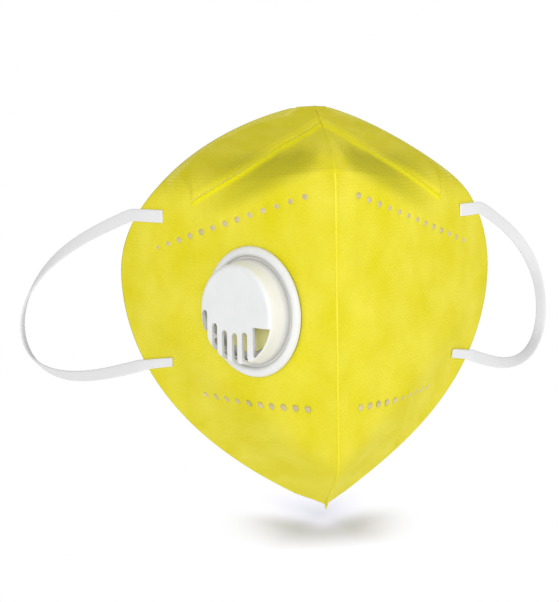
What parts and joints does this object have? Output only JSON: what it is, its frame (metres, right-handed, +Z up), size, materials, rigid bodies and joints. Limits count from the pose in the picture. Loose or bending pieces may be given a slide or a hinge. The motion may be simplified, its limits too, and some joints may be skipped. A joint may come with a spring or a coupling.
{
  "type": "disposable dust mask",
  "caption": "Vertical fold-flat dust mask in yellow nonwoven with a welded front seam, a white slotted exhalation valve on one cheek and flat white elastic ear loops",
  "frame": {"origin": "centre of the face opening: on the mirror plane of the two halves, level with the middle of the front seam, 99 mm behind it", "axes": "+Z up, +Y out of the open side towards the wearer's face, -Y out of the front seam, +X the wearer's left, which is the viewer's right from the front"},
  "size_m": [0.2562, 0.1863, 0.15],
  "materials": {
    "yellow_nonwoven": "spunbond nonwoven, matte",
    "white_batting": "fluffy hot-air cotton",
    "white_filter": "melt-blown filter web",
    "white_lining": "soft spunbond lining",
    "aluminium_strip": "soft bare strip",
    "grey_foam": "open-cell polyurethane foam",
    "white_elastic": "knitted flat elastic",
    "white_plastic": "moulded polypropylene",
    "silicone": "translucent silicone"
  },
  "bodies": {
    "mask": {"outer_cover_left": "yellow_nonwoven", "outer_cover_right": "yellow_nonwoven", "cotton_batting_left": "white_batting", "cotton_batting_right": "white_batting", "meltblown_filter_left": "white_filter", "meltblown_filter_right": "white_filter", "inner_lining_left": "white_lining", "inner_lining_right": "white_lining", "nose_clip": "aluminium_strip", "nose_foam": "grey_foam", "ear_loop_upper_tab_left": "white_elastic", "ear_loop_upper_tab_right": "white_elastic", "ear_loop_lower_tab_left": "white_elastic", "ear_loop_lower_tab_right": "white_elastic", "valve_seat": "white_plastic", "valve_cover": "white_plastic", "valve_backing_ring": "white_plastic", "valve_flap_anchor": "silicone"},
    "valve_flap": {"valve_flap": "silicone"},
    "ear_loop_left": {"ear_loop_left": "white_elastic"},
    "ear_loop_right": {"ear_loop_right": "white_elastic"}
  },
  "joints": [
    {"name": "valve_flap_hinge", "type": "hinge", "parent": "mask", "child": "valve_flap", "pos_m": [-0.02884, -0.07192, 0.0114], "axis": [-0.6592, 0.7519, 0], "range_deg": [0, 12], "stiffness_Nm_per_rad": 0.002},
    {"name": "ear_loop_left_hinge", "type": "hinge", "parent": "mask", "child": "ear_loop_left", "pos_m": [0.07011, -0.01069, 0.00293], "axis": [0.0368, -0.1175, 0.9924], "range_deg": [-75, 50], "stiffness_Nm_per_rad": 0.002},
    {"name": "ear_loop_right_hinge", "type": "hinge", "parent": "mask", "child": "ear_loop_right", "pos_m": [-0.07011, -0.01069, 0.00293], "axis": [0.0368, 0.1175, -0.9924], "range_deg": [-75, 50], "stiffness_Nm_per_rad": 0.002}
  ]
}
